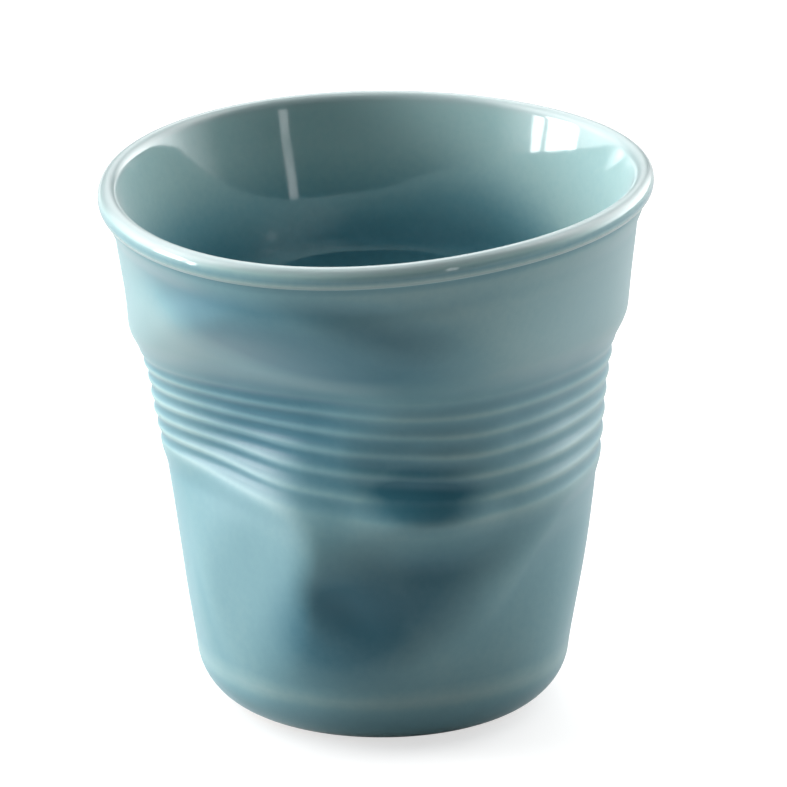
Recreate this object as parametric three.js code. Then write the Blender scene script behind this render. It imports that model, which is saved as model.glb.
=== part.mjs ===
import * as THREE from "three";

// A one-piece porcelain tumbler, slip-cast in the shape of a squeezed drinking cup.
// Millimetres, +Z up, the squeezed front faces -Y. Angles are degrees round the cup from the
// front, growing towards +X. A level is a height on the round cup before the squeeze moved it.

// Foot and lower body
const FOOT_RADIUS = 19.3;
const CORNER_CENTRE_RADIUS = 19;
const CORNER_RADIUS = 8.5;
const LOWER_TAPER = 0.168;

// Band of fine ribs round the waist: crests at an even pitch, shallow grooves between them
const LOWEST_CREST = 36.9;
const TOP_CREST = 53.3;
const RIB_COUNT = 7;
const RIB_PITCH = (TOP_CREST - LOWEST_CREST) / (RIB_COUNT - 1);
const RIB_DEPTH = 0.3;
const LOWEST_CREST_RADIUS = 32.7;
const RIB_TAPER = 0.168;

// Plain upper band, flared out to a rolled rim: an oval bead that ends, inside, at the RIM_ROLL angle
const BAND_LEVEL = 60;
const BAND_RADIUS = 37.1;
const BAND_TAPER = 0.044;
const FLARE = 1.2;
const FLARE_START = 71.5;
const FLARE_END = 76.9;
const RIM_LEVEL = 77.9;
const RIM_HALF_WIDTH = 1.5;
const RIM_HALF_HEIGHT = 1.8;
const RIM_RADIUS = 38.5;
const RIM_ROLL = 160;

// Wall and floor. Above WALL_THINS the wall thins to meet the bead's inner end.
const WALL = 3.4;
const WALL_THINS = 61;
const FLOOR_LEVEL = 5.2;
const FLOOR_CORNER = 7;

// The rim is pushed off centre, slightly oval, slightly three-cornered, and tilted
const LEAN = { angle: -86, size: 1.7 };
const OVAL = { angle: -3, size: 1 };
const TREFOIL = { angle: -25, size: 0.7 };
const RIM_GROWTH = 1.1;
const WAIST_SHIFT = 0.5;
const RIM_TILT = 0.029;
const RIM_DROOP = { angle: -25, reach: 60, size: 0.5 };

// Flat facets pressed into the lower body: facing angle, distance from the axis at FACET_LEVEL,
// lean outwards per millimetre up, rounding of the edges, and the levels between which they fade out
const FACET_LEVEL = 30;
const FACETS = [
  // the thumb's scoop, at the front
  { angle: 17, distance: 25.9, lean: -0.4, rounding: 4, fade: 27, gone: 39 },
  // the flat left of it, meeting the scoop in an upright ridge
  { angle: -46, distance: 27.5, lean: -0.03, rounding: 1.9, fade: 34, gone: 42.5 },
];

// Hand-pressed dents: middle, slant in degrees per millimetre up, reach to each side, level, reach
// down and up, and depth, less than 0 for a bulge. They fade out between DENTS_WHOLE and DENTS_GONE.
const DENTS_WHOLE = 69;
const DENTS_GONE = 77.5;
const DENTS = [
  // the palm's hollow across the ribs, and its deeper left side
  { angle: -27, slant: -0.5, left: 73, right: 90, level: 45, down: 18.3, up: 21.8, depth: 8.6 },
  { angle: -64, slant: 0, left: 33, right: 39, level: 41, down: 28, up: 20, depth: 3.4 },
  // the flatter side right of the front, and its lower half, leaning to the right
  { angle: 55.5, slant: -0.2, left: 57, right: 56, level: 50, down: 20, up: 38.5, depth: 5.3 },
  { angle: 51, slant: 1.4, left: 32, right: 46, level: 27, down: 28, up: 15.5, depth: 2.6 },
  // the pinch above the lowest rib, and the bulge round it
  { angle: 12, slant: -0.3, left: 25, right: 30, level: 41, down: 4, up: 13.6, depth: 2.4 },
  { angle: 16, slant: 0.4, left: 30.5, right: 25, level: 39.3, down: 15.7, up: 15, depth: -2.1 },
  // the deepest part of the scoop, and the swelling low on the left facet
  { angle: -7.6, slant: -1.1, left: 23, right: 40, level: 24.5, down: 11, up: 10.2, depth: 2.4 },
  { angle: -54, slant: -1.1, left: 12, right: 14.5, level: 18.3, down: 14, up: 12.4, depth: -0.9 },
  // the fold that runs up out of the palm's hollow
  { angle: -20, slant: 1.9, left: 36, right: 30, level: 51.6, down: 11, up: 11, depth: 1.7 },
  // the hollow on the left of the band, and the swelling right across the band
  { angle: -45, slant: 2.1, left: 45, right: 48, level: 57, down: 14.8, up: 16.4, depth: 3.4 },
  { angle: 21.5, slant: -0.2, left: 74, right: 90, level: 69, down: 18.7, up: 22.7, depth: -3.6 },
  // the hollows under the front and the left of the rim
  { angle: 7, slant: -2.2, left: 25, right: 90, level: 70, down: 12.3, up: 30, depth: 2 },
  { angle: -50, slant: 2, left: 39, right: 24, level: 72.7, down: 19, up: 12.8, depth: 1.9 },
  // the flattened front of the heel
  { angle: 5, slant: 0, left: 75, right: 75, level: 4, down: 7, up: 11, depth: 1.3 },
];

// Up and down movement of the two outer ribs: everywhere, right side over left side, at the front
const TOP_RISE = { all: -0.3, side: 0.9, front: 2.5 };
const LOW_RISE = { all: 0.75, side: -0.75, front: -1.4 };

const AROUND = 72;

const radians = (degrees) => (degrees * Math.PI) / 180;
const cosine = (degrees) => Math.cos(radians(degrees));
const ease = (from, to, value) => THREE.MathUtils.smoothstep(value, from, to);
const turn = (degrees) => THREE.MathUtils.euclideanModulo(degrees + 180, 360) - 180;

// 1 in the middle, falling smoothly to 0 at the reach on either side.
function lobe(offset, before, after) {
  const share = Math.min(Math.abs(offset) / (offset < 0 ? before : after), 1);
  return cosine(90 * share) ** 2;
}

// The smaller of two lengths, with the corner between them rounded.
function softMin(a, b, rounding) {
  const overlap = Math.max(rounding - Math.abs(a - b), 0) / rounding;
  return Math.min(a, b) - (overlap * overlap * rounding) / 4;
}

// Radius of the round cup's outer side at a level, with grooves and a flare of the given sizes.
function roundRadius(level, groove, flare) {
  const drop = Math.max(CORNER_RADIUS - level, 0);
  const rise = Math.max(level - CORNER_RADIUS, 0);
  const lower = CORNER_CENTRE_RADIUS + Math.sqrt(CORNER_RADIUS ** 2 - drop ** 2) + LOWER_TAPER * rise;
  const wave = (1 - cosine((360 * (level - LOWEST_CREST)) / RIB_PITCH)) / 2;
  const ribbed = level > LOWEST_CREST && level < TOP_CREST ? groove * wave : 0;
  const ribs = LOWEST_CREST_RADIUS + RIB_TAPER * (level - LOWEST_CREST) - ribbed;
  const band = BAND_RADIUS + BAND_TAPER * (level - BAND_LEVEL);
  const waist = THREE.MathUtils.lerp(lower, ribs, ease(33.2, 36.6, level));
  const side = THREE.MathUtils.lerp(waist, band, ease(53.4, 58.6, level));
  return side + flare * ease(FLARE_START, FLARE_END, level);
}

// How far the squeeze moves the side outwards at an angle and level.
function squeeze(angle, level) {
  const toRim = ease(54, 77, level);
  const rim =
    RIM_GROWTH +
    LEAN.size * cosine(angle - LEAN.angle) +
    OVAL.size * cosine(2 * (angle - OVAL.angle)) +
    TREFOIL.size * cosine(3 * (angle - TREFOIL.angle));
  const waist = -WAIST_SHIFT * Math.sin(radians(angle)) * ease(36, 54, level);
  let moved = toRim * rim + (1 - toRim) * waist;
  const kept = 1 - ease(DENTS_WHOLE, DENTS_GONE, level);
  for (const dent of DENTS) {
    const rise = level - dent.level;
    const round = lobe(turn(angle - dent.angle - dent.slant * rise), dent.left, dent.right);
    moved -= dent.depth * kept * round * lobe(rise, dent.down, dent.up);
  }
  const roundSide = roundRadius(level, 0, FLARE);
  for (const facet of FACETS) {
    const side = roundSide + moved;
    const off = THREE.MathUtils.clamp(turn(angle - facet.angle), -75, 75);
    const plane = (facet.distance + facet.lean * (level - FACET_LEVEL)) / cosine(off);
    const cut = softMin(side, plane, facet.rounding) - side;
    moved += cut * (1 - ease(facet.fade, facet.gone, level));
  }
  return moved;
}

// How far the squeeze moves the side up at an angle, a level and a distance out to the side.
function lift(angle, level, x) {
  const front = Math.max(cosine(angle), 0) ** 2;
  const side = Math.sin(radians(angle));
  const top = TOP_RISE.all + TOP_RISE.side * side + TOP_RISE.front * front;
  const low = LOW_RISE.all + LOW_RISE.side * side + LOW_RISE.front * front;
  const droop = RIM_DROOP.size * lobe(turn(angle - RIM_DROOP.angle), RIM_DROOP.reach, RIM_DROOP.reach);
  const rim = RIM_TILT * x - droop;
  const ribs = THREE.MathUtils.clamp((level - LOWEST_CREST) / (TOP_CREST - LOWEST_CREST), 0, 1);
  const toRim = ease(TOP_CREST, 77, level);
  const body = THREE.MathUtils.lerp(low * ease(10, LOWEST_CREST, level), top, ribs);
  return THREE.MathUtils.lerp(body, rim, toRim);
}

// A point of the squeezed cup from a radius and a level of the round one. Towards the middle of the
// foot and the floor the squeeze dies away.
function squeezed(angle, radius, level) {
  const share = Math.min(radius / CORNER_CENTRE_RADIUS, 1);
  const pressed = radius + share * squeeze(angle, level);
  const x = pressed * Math.sin(radians(angle));
  const y = -pressed * Math.cos(radians(angle));
  return new THREE.Vector3(x, y, level + lift(angle, level, x));
}

const steps = (from, to, count) =>
  Array.from({ length: count + 1 }, (_, i) => from + ((to - from) * i) / count);

// Radius and level of each ring of the round cup, from under the foot, up the outer side, over the
// rim and down the inner side to the floor.
function rings() {
  const list = [[FOOT_RADIUS, 0]];
  for (const angle of steps(-75, -15, 4)) {
    const level = CORNER_RADIUS * (1 + Math.sin(radians(angle)));
    list.push([roundRadius(level, 0, 0), level]);
  }
  const outerLevels = [
    ...steps(9.5, 32.4, 7),
    ...steps(34, 35.8, 2),
    ...steps(LOWEST_CREST, TOP_CREST, 2 * (RIB_COUNT - 1)),
    ...steps(54.6, 58.4, 3),
    ...steps(62, 71, 3),
    ...steps(73.2, 76.2, 2),
  ];
  for (const level of outerLevels) list.push([roundRadius(level, RIB_DEPTH, FLARE), level]);
  for (const angle of steps(-40, RIM_ROLL, 7)) {
    const radius = RIM_RADIUS + RIM_HALF_WIDTH * cosine(angle);
    list.push([radius, RIM_LEVEL + RIM_HALF_HEIGHT * Math.sin(radians(angle))]);
  }
  const lip = RIM_LEVEL + RIM_HALF_HEIGHT * Math.sin(radians(RIM_ROLL));
  const lipRadius = RIM_RADIUS + RIM_HALF_WIDTH * cosine(RIM_ROLL);
  const rimGap = lipRadius - (roundRadius(lip, 0, 0) - WALL);
  const innerLevels = [...steps(75.5, 69, 2), ...steps(63, FLOOR_LEVEL + FLOOR_CORNER + 3, 8)];
  for (const level of innerLevels) {
    const thin = rimGap * Math.max((level - WALL_THINS) / (lip - WALL_THINS), 0) ** 2;
    list.push([roundRadius(level, 0, 0) - WALL + thin, level]);
  }
  const cornerRadius = roundRadius(FLOOR_LEVEL + FLOOR_CORNER, 0, 0) - WALL - FLOOR_CORNER;
  for (const angle of steps(0, 90, 4)) {
    const level = FLOOR_LEVEL + FLOOR_CORNER * (1 - Math.sin(radians(angle)));
    list.push([cornerRadius + FLOOR_CORNER * cosine(angle), level]);
  }
  list.push([cornerRadius / 2, FLOOR_LEVEL]);
  return list;
}

// A closed shell through the rings, with a pole under the foot and a pole on the floor.
function cupGeometry() {
  const profile = rings();
  const positions = [0, 0, 0];
  for (const [radius, level] of profile) {
    for (let i = 0; i < AROUND; i++) {
      positions.push(...squeezed((360 * i) / AROUND, radius, level).toArray());
    }
  }
  positions.push(0, 0, FLOOR_LEVEL);
  const at = (ring, i) => 1 + ring * AROUND + (i % AROUND);
  const lastRing = profile.length - 1;
  const floorPole = 1 + profile.length * AROUND;
  const faces = [];
  for (let i = 0; i < AROUND; i++) {
    faces.push(0, at(0, i + 1), at(0, i));
    faces.push(at(lastRing, i), at(lastRing, i + 1), floorPole);
    for (let ring = 0; ring < lastRing; ring++) {
      faces.push(at(ring, i), at(ring, i + 1), at(ring + 1, i + 1));
      faces.push(at(ring, i), at(ring + 1, i + 1), at(ring + 1, i));
    }
  }
  const geometry = new THREE.BufferGeometry();
  geometry.setAttribute("position", new THREE.Float32BufferAttribute(positions, 3));
  geometry.setIndex(faces);
  geometry.computeVertexNormals();
  return geometry;
}

const glaze = new THREE.MeshStandardMaterial({ color: 0x6a97a2, roughness: 0.12, metalness: 0 });
const cup = new THREE.Mesh(cupGeometry(), glaze);
cup.name = "cup_body";

const group = new THREE.Group();
group.add(cup);

export default group;
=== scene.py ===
import math

import bpy
import numpy as np
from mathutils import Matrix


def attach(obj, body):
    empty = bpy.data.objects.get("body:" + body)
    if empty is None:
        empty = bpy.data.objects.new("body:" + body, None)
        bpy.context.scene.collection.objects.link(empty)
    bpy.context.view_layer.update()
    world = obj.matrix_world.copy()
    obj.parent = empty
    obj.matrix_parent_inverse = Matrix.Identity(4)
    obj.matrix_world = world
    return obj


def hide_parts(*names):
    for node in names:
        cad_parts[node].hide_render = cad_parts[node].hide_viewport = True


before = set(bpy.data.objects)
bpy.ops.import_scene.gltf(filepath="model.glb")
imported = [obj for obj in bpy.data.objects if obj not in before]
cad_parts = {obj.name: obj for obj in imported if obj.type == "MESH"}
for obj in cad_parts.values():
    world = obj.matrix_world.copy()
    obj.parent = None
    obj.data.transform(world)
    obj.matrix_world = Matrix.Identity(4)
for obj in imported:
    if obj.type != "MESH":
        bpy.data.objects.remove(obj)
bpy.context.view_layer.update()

# A one-piece glazed porcelain tumbler, cast in the shape of a squeezed drinking cup.
# The shape is worked out in millimetres round a straight, round cup: an angle in degrees from the
# front (-Y) towards +X, and a level, the height before the squeeze. Meshes are made in metres.
MM = 0.001

# Foot, the round corner of the heel, and the lower body above it
FOOT_RADIUS = 19.3
CORNER_CENTRE_RADIUS = 19
CORNER_RADIUS = 8.5
LOWER_TAPER = 0.168

# Ribs round the waist
LOWEST_CREST = 36.9
TOP_CREST = 53.3
RIB_COUNT = 7
RIB_PITCH = (TOP_CREST - LOWEST_CREST) / (RIB_COUNT - 1)
RIB_DEPTH = 0.3
CREST_SHARPNESS = 0.7
LOWEST_CREST_RADIUS = 32.7
RIB_TAPER = 0.168
RIBS_MEET_LOWER = (33.2, 36.6)
RIBS_MEET_BAND = (53.4, 58.6)

# Upper band and rolled rim: the rim is an oval bead that ends, inside, at the RIM_ROLL angle
BAND_LEVEL = 60
BAND_RADIUS = 37.1
BAND_TAPER = 0.044
FLARE = 1.2
FLARE_START = 71.5
FLARE_END = 76.9
RIM_LEVEL = 77.9
RIM_HALF_WIDTH = 1.5
RIM_HALF_HEIGHT = 1.8
RIM_RADIUS = 38.5
RIM_ROLL = 160

# Wall and floor; above WALL_THINS the wall thins to meet the bead's inner end
WALL = 3.4
WALL_THINS = 61
FLOOR_LEVEL = 5.2
FLOOR_CORNER = 7

# Squeeze of the rim: each way it is pushed, as an angle and a size. It fades in over RIM_SQUEEZED.
LEAN = (-86, 1.7)
OVAL = (-3, 1.0)
TREFOIL = (-25, 0.7)
RIM_GROWTH = 1.1
RIM_SQUEEZED = (54, 77)
# The top of the waist moves to the left, over the levels in WAIST_SHIFTED
WAIST_SHIFT = 0.5
WAIST_SHIFTED = (36, 54)
# The rim rises to the right, per millimetre, and droops: middle, reach around and size
RIM_TILT = 0.029
RIM_DROOP = (-25, 60, 0.5)

# Flat facets pressed into the lower body: facing angle, distance from the axis at FACET_LEVEL,
# lean outwards per millimetre up, rounding of the edges, and the levels where the facet fades out
FACET_LEVEL = 30
FACET_REACH = 75
FACETS = [
    (17, 25.9, -0.4, 4, 27, 39),  # the thumb's scoop, at the front
    (-46, 27.5, -0.03, 1.9, 34, 42.5),  # the flat left of it, meeting the scoop in an upright ridge
]

# Dents: angle, slant in degrees per millimetre up, reach left and right, level, reach down and up,
# and depth, less than 0 for a bulge. They fade out between DENTS_WHOLE and DENTS_GONE.
DENTS_WHOLE = 69
DENTS_GONE = 77.5
DENTS = [
    (-27, -0.5, 73, 90, 45, 18.3, 21.8, 8.6),  # the palm's hollow across the ribs
    (-64, 0, 33, 39, 41, 28, 20, 3.4),  # its deeper left side
    (55.5, -0.2, 57, 56, 50, 20, 38.5, 5.3),  # the flatter side right of the front
    (51, 1.4, 32, 46, 27, 28, 15.5, 2.6),  # its lower half, leaning to the right
    (12, -0.3, 25, 30, 41, 4, 13.6, 2.4),  # the pinch above the lowest rib
    (16, 0.4, 30.5, 25, 39.3, 15.7, 15, -2.1),  # the bulge round it
    (-7.6, -1.1, 23, 40, 24.5, 11, 10.2, 2.4),  # the deepest part of the scoop
    (-54, -1.1, 12, 14.5, 18.3, 14, 12.4, -0.9),  # the swelling low on the left facet
    (-20, 1.9, 36, 30, 51.6, 11, 11, 1.7),  # the fold that runs up out of the palm's hollow
    (-45, 2.1, 45, 48, 57, 14.8, 16.4, 3.4),  # the hollow on the left of the band
    (21.5, -0.2, 74, 90, 69, 18.7, 22.7, -3.6),  # the swelling right across the band
    (7, -2.2, 25, 90, 70, 12.3, 30, 2.0),  # the hollow under the front of the rim
    (-50, 2.0, 39, 24, 72.7, 19, 12.8, 1.9),  # the hollow under the left of the rim
    (5, 0, 75, 75, 4, 7, 11, 1.3),  # the flattened front of the heel
]

# Up and down movement of the top and lowest rib: everywhere, right side over left, at the front.
# It starts at LIFT_STARTS, and from RIM_LIFT_WHOLE up only the rim's tilt and droop are left.
TOP_RISE = (-0.3, 0.9, 2.5)
LOW_RISE = (0.75, -0.75, -1.4)
LIFT_STARTS = 10
RIM_LIFT_WHOLE = 77

# Points in each ring
AROUND = 336

# The glaze pools in the grooves and runs thin over the crests and towards the rim, and painted
# shade darkens the pressed hollows. Its thinness is about 0 in the deepest painted shade, 1 on a
# plain side and 2.5 at its thinnest. First the bend of the surface per millimetre where it is
# thickest and thinnest, then how far a hollow is pressed in where the painted shade starts and is
# full, and by how much full painted shade lowers the thinness.
THICK_TO_THIN_BEND = (-0.5, 0.8)
BEND_SMOOTHINGS = 2
HOLLOW_SHADING = (3, 12)
HOLLOW_SHADE_DEPTH = 1.1
# The levels where it starts to thin and is thin, and the thinness gained there, outside and inside.
# Inside, the gain is partly glaze thinning towards the rim and partly painted light on the upper
# inner wall. Then the thinness low on the inside, set low as painted shade deep in the cup
THINNING = (50, 62)
THINNING_GAIN = 0.3
INSIDE_THINNING_AND_LIGHT = (58, 74)
INSIDE_THINNING_AND_LIGHT_GAIN = 1.35
SHADED_LOW_INSIDE = 0.45
# Painted light inside: the paler glaze reaches further down on the lit side of the inner wall:
# middle, reach around, and how much further down
LIT_INSIDE_SIDE = (85, 80, 15)
# Painted lines of light and shade round the outside: level, reach down and up, and the thinness
# gained, or lost if less than 0
HEEL_HIGHLIGHT = (8, 2, 2, 0.38)  # a painted highlight: a faint pale line over the turn of the heel
HEEL_SHADE = (4, 3.5, 4, -0.342)  # painted shade: darker glaze below it, where the heel turns under
BEAD_SHADE = (RIM_LEVEL - 0.1, 0.9, 1.7, -1.2)  # painted shade: darker glaze along the outer face of the bead
# The levels where the outer side's satin gives way to the gloss of the rim and the inside
GLOSS_STARTS = (76, 78.5)
# Patches of painted shade, darker than the pressed hollows alone: angle, slant in degrees per
# millimetre up, level, reach around, reach up and down, and how dark, where more than 1 widens the
# darkest part
SHADE_PATCHES = [
    (-18, -1.5, 65.5, 48, 14, 1.8),  # the fold across the front of the band
    (11, 0, 40.2, 24, 6, 1.5),  # the pinch above the lowest rib
    (-9, 0.6, 21, 36, 15, 1.5),  # the thumb's scoop
    (9, 0.9, 24.5, 33, 12, 1.0),  # its upper part
]


def cosine(degrees):
    return np.cos(np.radians(degrees))


def sine(degrees):
    return np.sin(np.radians(degrees))


def ease(low, high, value):
    share = np.clip((value - low) / (high - low), 0, 1)
    return share * share * (3 - 2 * share)


def mix(a, b, share):
    return a + (b - a) * share


def turn(degrees):
    return (degrees + 180) % 360 - 180


def lobe(offset, before, after):
    """1 in the middle, falling smoothly to 0 at the reach on either side."""
    share = np.minimum(np.abs(offset) / np.where(offset < 0, before, after), 1)
    return cosine(90 * share) ** 2


def soft_min(a, b, rounding):
    """The smaller of two lengths, with the corner between them rounded."""
    overlap = np.maximum(rounding - np.abs(a - b), 0) / rounding
    return np.minimum(a, b) - overlap * overlap * rounding / 4


def round_radius(level, groove, flare=FLARE):
    """Radius of the round cup's outer side at a level, with grooves of the given depth."""
    drop = np.maximum(CORNER_RADIUS - level, 0)
    rise = np.maximum(level - CORNER_RADIUS, 0)
    corner = np.sqrt(np.maximum(CORNER_RADIUS**2 - drop**2, 0))
    lower = CORNER_CENTRE_RADIUS + corner + LOWER_TAPER * rise
    wave = ((1 - cosine(360 * (level - LOWEST_CREST) / RIB_PITCH)) / 2) ** CREST_SHARPNESS
    ribbed = np.where((level > LOWEST_CREST) & (level < TOP_CREST), groove * wave, 0)
    ribs = LOWEST_CREST_RADIUS + RIB_TAPER * (level - LOWEST_CREST) - ribbed
    band = BAND_RADIUS + BAND_TAPER * (level - BAND_LEVEL)
    waist = mix(lower, ribs, ease(*RIBS_MEET_LOWER, level))
    side = mix(waist, band, ease(*RIBS_MEET_BAND, level))
    return side + flare * ease(FLARE_START, FLARE_END, level)


def squeeze(angle, level):
    """How far the squeeze moves the side outwards."""
    to_rim = ease(*RIM_SQUEEZED, level)
    rim = (
        RIM_GROWTH
        + LEAN[1] * cosine(angle - LEAN[0])
        + OVAL[1] * cosine(2 * (angle - OVAL[0]))
        + TREFOIL[1] * cosine(3 * (angle - TREFOIL[0]))
    )
    waist = -WAIST_SHIFT * sine(angle) * ease(*WAIST_SHIFTED, level)
    moved = to_rim * rim + (1 - to_rim) * waist
    kept = 1 - ease(DENTS_WHOLE, DENTS_GONE, level)
    for middle, slant, left, right, height, down, up, depth in DENTS:
        around = lobe(turn(angle - middle - slant * (level - height)), left, right)
        moved = moved - depth * kept * around * lobe(level - height, down, up)
    round_side = round_radius(level, 0)
    for facing, distance, lean, rounding, fade_start, fade_end in FACETS:
        side = round_side + moved
        off = np.clip(turn(angle - facing), -FACET_REACH, FACET_REACH)
        plane = (distance + lean * (level - FACET_LEVEL)) / cosine(off)
        cut = soft_min(side, plane, rounding) - side
        moved = moved + cut * (1 - ease(fade_start, fade_end, level))
    return moved


def lift(angle, level, x):
    """How far the squeeze moves the side up."""
    front = np.maximum(cosine(angle), 0) ** 2
    side = sine(angle)
    top = TOP_RISE[0] + TOP_RISE[1] * side + TOP_RISE[2] * front
    low = LOW_RISE[0] + LOW_RISE[1] * side + LOW_RISE[2] * front
    middle, reach, size = RIM_DROOP
    rim = RIM_TILT * x - size * lobe(turn(angle - middle), reach, reach)
    ribs = np.clip((level - LOWEST_CREST) / (TOP_CREST - LOWEST_CREST), 0, 1)
    body = mix(low * ease(LIFT_STARTS, LOWEST_CREST, level), top, ribs)
    return mix(body, rim, ease(TOP_CREST, RIM_LIFT_WHOLE, level))


def squeezed(angle, radius, level):
    """Points of the squeezed cup, in millimetres, from radii and levels of the round one."""
    share = np.minimum(radius / CORNER_CENTRE_RADIUS, 1)
    pressed = radius + share * squeeze(angle, level)
    x = pressed * sine(angle)
    y = -pressed * cosine(angle)
    return np.stack([x, y, level + lift(angle, level, x)], axis=-1)


def cup_rings():
    """Radius and level of each ring, from the foot, up the outer side and down to the floor."""
    rings = [(6, 0), (12, 0), (16, 0), (FOOT_RADIUS, 0)]
    # Round the corner of the heel
    for angle in np.linspace(-78, -3, 15):
        level = CORNER_RADIUS * (1 + math.sin(math.radians(angle)))
        rings.append((float(round_radius(level, 0)), level))
    # Up the lower body, the ribs, the band and the flare under the rim
    levels = np.concatenate([
        np.linspace(10.5, 32.8, 38),
        np.linspace(33.3, 36.5, 9),
        np.linspace(LOWEST_CREST, TOP_CREST, 12 * (RIB_COUNT - 1) + 1),
        np.linspace(53.7, 58.6, 12),
        np.linspace(59.3, 71, 18),
        np.linspace(71.6, 76.7, 12),
    ])
    rings += [(float(round_radius(level, RIB_DEPTH)), float(level)) for level in levels]
    # Over the rim's bead
    for angle in np.linspace(-42, RIM_ROLL, 22):
        radius = RIM_RADIUS + RIM_HALF_WIDTH * cosine(angle)
        rings.append((float(radius), float(RIM_LEVEL + RIM_HALF_HEIGHT * sine(angle))))
    # Down the inner wall, which starts from the end of the bead
    lip = RIM_LEVEL + RIM_HALF_HEIGHT * sine(RIM_ROLL)
    rim_gap = RIM_RADIUS + RIM_HALF_WIDTH * cosine(RIM_ROLL) - (round_radius(lip, 0, 0) - WALL)
    for level in np.concatenate([np.linspace(lip - 0.5, 65, 20), np.linspace(64, 12, 45)]):
        thin = rim_gap * max((level - WALL_THINS) / (lip - WALL_THINS), 0) ** 2
        rings.append((float(round_radius(level, 0, 0) - WALL + thin), float(level)))
    # Round the inner corner and across the inner floor
    corner = float(round_radius(FLOOR_LEVEL + FLOOR_CORNER, 0)) - WALL - FLOOR_CORNER
    for angle in np.linspace(0, 90, 14):
        level = FLOOR_LEVEL + FLOOR_CORNER * (1 - math.sin(math.radians(angle)))
        rings.append((corner + FLOOR_CORNER * math.cos(math.radians(angle)), level))
    rings += [(corner * share, FLOOR_LEVEL) for share in (0.75, 0.5, 0.25)]
    return np.array(rings)


def across_grid(grid, axis):
    """Central differences along one axis of a grid of points, closed round the cup."""
    if axis == 1:
        return np.roll(grid, -1, axis=1) - np.roll(grid, 1, axis=1)
    return np.gradient(grid, axis=0) * 2


def surface_bend(grid):
    """Bend of the surface per millimetre, more than 0 over a ridge, smoothed up the cup."""
    up = across_grid(grid, 0)
    along = across_grid(grid, 1)
    normal = np.cross(along, up)
    normal /= np.linalg.norm(normal, axis=-1, keepdims=True)
    bend = 0
    for axis, step in ((0, up), (1, along)):
        turned = across_grid(normal, axis)
        bend = bend + np.sum(turned * step, axis=-1) / np.sum(step * step, axis=-1)
    for _ in range(BEND_SMOOTHINGS):
        bend[1:-1] = (bend[:-2] + 2 * bend[1:-1] + bend[2:]) / 4
    return bend


def inside_share(rings):
    """0 up the outer side, 1 from the rim inwards, with a short blend under the rim."""
    crossed = np.arange(len(rings)) > np.argmax(rings[:, 1])
    return np.where(crossed, 1.0, ease(*GLOSS_STARTS, rings[:, 1]))[:, None]


def hollow_shade(angle, level):
    """How much painted shade darkens the outer side's hollows, from 0 to 1."""
    shade = ease(*HOLLOW_SHADING, -squeeze(angle, level))
    # Patches of painted shade over the fold, the pinch and the scoop
    for middle, slant, height, wide, tall, full in SHADE_PATCHES:
        off = turn(angle - middle - slant * (level - height))
        patch = full * lobe(off, wide, wide) * lobe(level - height, tall, tall)
        shade = np.maximum(shade, np.minimum(patch, 1))
    return shade


def painted_line(level, line):
    """Painted light or shade along a line round the cup, as thinness gained or lost."""
    middle, down, up, gain = line
    return gain * lobe(level - middle, down, up)


def glaze_thinness_and_light(angles, rings, grid):
    """Thinness of the glaze at each point of the grid of rings, with painted light and shade added
    in.
    """
    level = rings[:, 1:]
    inside = inside_share(rings)
    # Painted shade in the pressed hollows and in the listed patches
    shaded = HOLLOW_SHADE_DEPTH * hollow_shade(angles[None, :], level)
    outer = 1 - shaded + THINNING_GAIN * ease(*THINNING, level)
    # Inside: painted light high up and on the lit side of the inner wall, painted shade low in the
    # cup
    middle, reach, further = LIT_INSIDE_SIDE
    lit_side = lobe(turn(angles - middle), reach, reach)[None, :]
    thin_and_lit = ease(*INSIDE_THINNING_AND_LIGHT, level + further * lit_side)
    inner = SHADED_LOW_INSIDE + INSIDE_THINNING_AND_LIGHT_GAIN * thin_and_lit
    crest = ease(*THICK_TO_THIN_BEND, surface_bend(grid)) - ease(*THICK_TO_THIN_BEND, 0)
    # Painted highlight and painted shade round the heel, and painted shade on the bead's outer face
    heel_light_and_shade = (painted_line(level, HEEL_HIGHLIGHT) + painted_line(level, HEEL_SHADE)) * (1 - inside)
    before_top = np.arange(len(rings))[:, None] < np.argmax(rings[:, 1])
    return mix(outer, inner, inside) + crest + heel_light_and_shade + before_top * painted_line(level, BEAD_SHADE)


def cup_mesh(name):
    rings = cup_rings()
    angles = np.arange(AROUND) * 360 / AROUND
    grid = squeezed(angles[None, :], rings[:, :1], rings[:, 1:])
    count = len(rings)
    points = np.vstack([[[0, 0, 0]], grid.reshape(-1, 3), [[0, 0, FLOOR_LEVEL]]]) * MM
    around = np.arange(AROUND)
    after = (around + 1) % AROUND
    faces = []
    for ring in range(count - 1):
        low, high = 1 + ring * AROUND, 1 + (ring + 1) * AROUND
        quads = np.stack([low + around, low + after, high + after, high + around], axis=1)
        faces += quads.tolist()
    faces += np.stack([np.zeros(AROUND, int), 1 + after, 1 + around], axis=1).tolist()
    last = 1 + (count - 1) * AROUND
    pole = np.full(AROUND, 1 + count * AROUND)
    faces += np.stack([last + around, last + after, pole], axis=1).tolist()
    mesh = bpy.data.meshes.new(name)
    mesh.from_pydata(points.tolist(), [], faces)
    mesh.polygons.foreach_set("use_smooth", [True] * len(mesh.polygons))
    layers = {
        "glaze_thinness_and_light": glaze_thinness_and_light(angles, rings, grid),
        "inside": np.broadcast_to(inside_share(rings), grid.shape[:2]),
    }
    for layer_name, values in layers.items():
        layer = mesh.attributes.new(layer_name, "FLOAT", "POINT")
        with_poles = np.concatenate([[values[0].mean()], values.ravel(), [values[-1].mean()]])
        layer.data.foreach_set("value", with_poles)
    mesh.update()
    piece = bpy.data.objects.new(name, mesh)
    bpy.context.scene.collection.objects.link(piece)
    return piece


def material(name):
    made = bpy.data.materials.new(name)
    made.use_nodes = True
    return made, made.node_tree.nodes, made.node_tree.links


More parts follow.
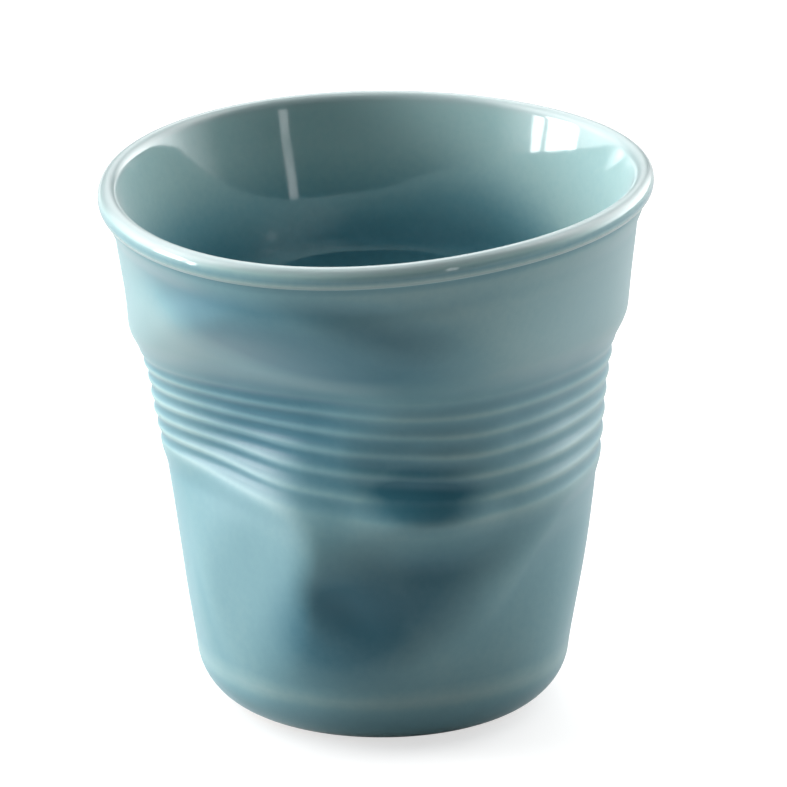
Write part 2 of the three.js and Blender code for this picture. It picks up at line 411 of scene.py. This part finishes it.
def math_node(nodes, links, operation, *inputs):
    node = nodes.new("ShaderNodeMath")
    node.operation = operation
    for socket, value in zip(node.inputs, inputs):
        if isinstance(value, (int, float)):
            socket.default_value = value
        else:
            links.new(value, socket)
    return node.outputs[0]


def noise_node(nodes, links, place, scale, detail):
    node = nodes.new("ShaderNodeTexNoise")
    node.inputs["Scale"].default_value = scale
    node.inputs["Detail"].default_value = detail
    links.new(place, node.inputs["Vector"])
    return node.outputs["Fac"]


def span(nodes, links, value, low, high, to_low, to_high):
    """A value moved from one range to another, held at the ends."""
    node = nodes.new("ShaderNodeMapRange")
    ends = {"From Min": low, "From Max": high, "To Min": to_low, "To Max": to_high}
    for name, number in ends.items():
        node.inputs[name].default_value = number
    links.new(value, node.inputs["Value"])
    return node.outputs["Result"]


def swing(nodes, links, noise, size):
    """Noise turned into a value between -size and size."""
    return span(nodes, links, noise, 0.3, 0.7, -size, size)


def blend_colours(nodes, links, share, first, second):
    node = nodes.new("ShaderNodeMix")
    node.data_type = "RGBA"
    links.new(share, node.inputs["Factor"])
    for socket, colour in ((node.inputs[6], first), (node.inputs[7], second)):
        if isinstance(colour, tuple):
            socket.default_value = (*colour, 1)
        else:
            links.new(colour, socket)
    return node.outputs[2]


# Colours of the glaze from its thickest to its thinnest, with the thinness where each step starts
# and ends, and of the clay. The thickest colour also serves as painted shade and the thin colour as
# painted light
DEEP_GLAZE_AND_SHADE = (0.030, 0.140, 0.195)
PLAIN_GLAZE = (0.136, 0.284, 0.322)
THIN_GLAZE_AND_LIGHT = (0.270, 0.405, 0.405)
THINNEST_GLAZE = (0.280, 0.350, 0.355)
GLAZE_STEPS = [(-0.1, 1.0, PLAIN_GLAZE), (1.0, 1.8, THIN_GLAZE_AND_LIGHT), (1.8, 2.5, THINNEST_GLAZE)]
BARE_CLAY = (0.62, 0.54, 0.45)

# Finish. The clay is rougher than the glaze by CLAY_ROUGHER.
OUTSIDE_ROUGHNESS = 0.45
INSIDE_ROUGHNESS = 0.07
CLAY_ROUGHER = 0.45
SHEEN = 0.3
SHEEN_ROUGHNESS = 0.35

# The clay is glazed above the first height and bare below the second, in metres
BARE_HEIGHT = (0.00085, 0.00055)

# Unevenness: scale per metre and detail of each noise, and how far it moves what it is used on
DRIFT = (45, 2)
MOTTLE = (900, 3)
EDGE = (350, 2)
WAVE = (160, 1)
GRAIN = (1400, 2)
DRIFT_SWING = 0.06
MOTTLE_SWING = 0.05
ROUGHNESS_SWING = 0.02
BARE_EDGE_SWING = 0.00012
GRAIN_SHARE = 0.03
BUMP_STRENGTH = 0.5
BUMP_HEIGHT = 0.00006


def glaze_material():
    made, nodes, links = material("blue_green_glaze")
    shader = nodes["Principled BSDF"]
    shader.inputs["Sheen Weight"].default_value = SHEEN
    shader.inputs["Sheen Roughness"].default_value = SHEEN_ROUGHNESS
    place = nodes.new("ShaderNodeTexCoord").outputs["Object"]
    # Thinness of the glaze, with painted light and shade added in
    thinness_and_light = nodes.new("ShaderNodeAttribute")
    thinness_and_light.attribute_name = "glaze_thinness_and_light"

    # The glaze runs: broad drifts of thicker and thinner colour, with a fine mottle in them
    drift = swing(nodes, links, noise_node(nodes, links, place, *DRIFT), DRIFT_SWING)
    mottle = noise_node(nodes, links, place, *MOTTLE)
    thin = math_node(nodes, links, "ADD", thinness_and_light.outputs["Fac"], drift)
    thin = math_node(nodes, links, "ADD", thin, swing(nodes, links, mottle, MOTTLE_SWING))
    colour = DEEP_GLAZE_AND_SHADE
    for low, high, thinner in GLAZE_STEPS:
        share = span(nodes, links, thin, low, high, 0, 1)
        colour = blend_colours(nodes, links, share, colour, thinner)

    # The ring that the cup stands on is wiped bare, with an uneven edge
    height = nodes.new("ShaderNodeSeparateXYZ")
    links.new(place, height.inputs[0])
    edge = swing(nodes, links, noise_node(nodes, links, place, *EDGE), BARE_EDGE_SWING)
    level = math_node(nodes, links, "ADD", height.outputs["Z"], edge)
    bare = span(nodes, links, level, *BARE_HEIGHT, 0, 1)
    colour = blend_colours(nodes, links, bare, colour, BARE_CLAY)
    links.new(colour, shader.inputs["Base Color"])

    # The inside and the rim are glossy, the outside has been handled to a satin
    inside = nodes.new("ShaderNodeAttribute")
    inside.attribute_name = "inside"
    rough = span(nodes, links, inside.outputs["Fac"], 0, 1, OUTSIDE_ROUGHNESS, INSIDE_ROUGHNESS)
    rough = math_node(nodes, links, "ADD", rough, swing(nodes, links, mottle, ROUGHNESS_SWING))
    clay = math_node(nodes, links, "MULTIPLY", bare, CLAY_ROUGHER)
    rough = math_node(nodes, links, "ADD", rough, clay)
    links.new(rough, shader.inputs["Roughness"])

    # Slow waves where the glaze levelled, and the grain of the casting under it
    wave = noise_node(nodes, links, place, *WAVE)
    grain = noise_node(nodes, links, place, *GRAIN)
    grain = math_node(nodes, links, "MULTIPLY", grain, GRAIN_SHARE)
    rise = math_node(nodes, links, "ADD", wave, grain)
    bump = nodes.new("ShaderNodeBump")
    bump.inputs["Strength"].default_value = BUMP_STRENGTH
    bump.inputs["Distance"].default_value = BUMP_HEIGHT
    links.new(rise, bump.inputs["Height"])
    links.new(bump.outputs["Normal"], shader.inputs["Normal"])
    return made


cup = cup_mesh("glazed_cup")
cup.data.materials.append(glaze_material())
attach(cup, "root")
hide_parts("cup_body")


# The stage: a wide pale floor just under the foot, which looks white to the camera
STAGE_HALF_WIDTH = 3.0
STAGE_TOP = -0.00005
STAGE_COLOUR = (0.4, 0.4, 0.4, 1)
STAGE_ROUGHNESS = 0.6
STAGE_GLOW = 0.65


def floor():
    mesh = bpy.data.meshes.new("floor")
    turns = ((-1, -1), (1, -1), (1, 1), (-1, 1))
    corners = [(x * STAGE_HALF_WIDTH, y * STAGE_HALF_WIDTH, STAGE_TOP) for x, y in turns]
    mesh.from_pydata(corners, [], [(0, 1, 2, 3)])
    piece = bpy.data.objects.new("floor", mesh)
    bpy.context.scene.collection.objects.link(piece)
    made, nodes, links = material("pale_floor")
    shader = nodes["Principled BSDF"]
    shader.inputs["Base Color"].default_value = STAGE_COLOUR
    shader.inputs["Roughness"].default_value = STAGE_ROUGHNESS
    seen = nodes.new("ShaderNodeLightPath").outputs["Is Camera Ray"]
    glow = math_node(nodes, links, "MULTIPLY", seen, STAGE_GLOW)
    shader.inputs["Emission Color"].default_value = (1, 1, 1, 1)
    links.new(glow, shader.inputs["Emission Strength"])
    piece.data.materials.append(made)


floor()


# Soft lights round the cup: azimuth from the front towards +X, half width, elevation, half height
# and the width of the faded edge, all in degrees, and brightness
SOFTBOXES = [
    (-106, 10, 30, 13, 34, 7.4),  # the main light, high on the left
    (-170, 15, 47, 8, 28, 3.6),  # its spill, high behind
    (119, 12, 25, 25, 30, 3.8),  # right and behind
    (130, 12, 6, 8, 22, 3.2),  # its lower part
    (0, 180, 90, 2, 20, 2.7),  # overhead
    (-81.5, 2, 7, 8, 1, 16),  # a narrow window pane on the left, reflected inside the rim
    (-95, 8, 12, 9, 1, 16),  # the wide pane beside it
    (38.5, 2, 9, 9, 1, 4),  # a strip light in front on the right
]


def studio_world():
    world = bpy.data.worlds.new("studio")
    world.use_nodes = True
    nodes, links = world.node_tree.nodes, world.node_tree.links
    way = nodes.new("ShaderNodeTexCoord").outputs["Generated"]
    split = nodes.new("ShaderNodeSeparateXYZ")
    links.new(way, split.inputs[0])
    x, y, z = split.outputs
    back = math_node(nodes, links, "MULTIPLY", y, -1.0)
    azimuth = math_node(nodes, links, "ARCTAN2", x, back)
    azimuth = math_node(nodes, links, "DEGREES", azimuth)
    height = math_node(nodes, links, "DEGREES", math_node(nodes, links, "ARCSINE", z))
    total = 0.0
    for middle, wide, level, high, fade, power in SOFTBOXES:
        off = math_node(nodes, links, "SUBTRACT", azimuth, middle)
        off = math_node(nodes, links, "WRAP", off, -180.0, 180.0)
        off = math_node(nodes, links, "ABSOLUTE", off)
        rise = math_node(nodes, links, "SUBTRACT", height, level)
        rise = math_node(nodes, links, "ABSOLUTE", rise)
        across = span(nodes, links, off, wide, wide + fade, 1, 0)
        up = span(nodes, links, rise, high, high + fade, 1, 0)
        glow = math_node(nodes, links, "MULTIPLY", across, up)
        glow = math_node(nodes, links, "MULTIPLY", glow, power)
        total = math_node(nodes, links, "ADD", glow, total)
    seen = nodes.new("ShaderNodeLightPath").outputs["Is Camera Ray"]
    total = math_node(nodes, links, "MAXIMUM", total, seen)
    lit = nodes["Background"]
    links.new(total, lit.inputs["Strength"])
    lit.inputs["Color"].default_value = (1, 1, 1, 1)
    bpy.context.scene.world = world


studio_world()
bpy.context.scene.view_settings.view_transform = "Standard"

# Camera: a long lens looking down at about twenty degrees. Lengths are in metres, except the
# lens and the sensor, which are in millimetres.
CAMERA_ELEVATION = math.radians(19.8)
CAMERA_DISTANCE = 0.9
CAMERA_AIM = (0.00154, 0, 0.0459)
SENSOR_WIDTH = 36
FOCAL_LENGTH = 282.3278
camera_data = bpy.data.cameras.new("camera")
camera_data.sensor_width = SENSOR_WIDTH
camera_data.lens = FOCAL_LENGTH
camera = bpy.data.objects.new("camera", camera_data)
camera.location = (
    CAMERA_AIM[0],
    CAMERA_AIM[1] - CAMERA_DISTANCE * math.cos(CAMERA_ELEVATION),
    CAMERA_AIM[2] + CAMERA_DISTANCE * math.sin(CAMERA_ELEVATION),
)
camera.rotation_euler = (math.pi / 2 - CAMERA_ELEVATION, 0, 0)
bpy.context.scene.collection.objects.link(camera)
bpy.context.scene.camera = camera
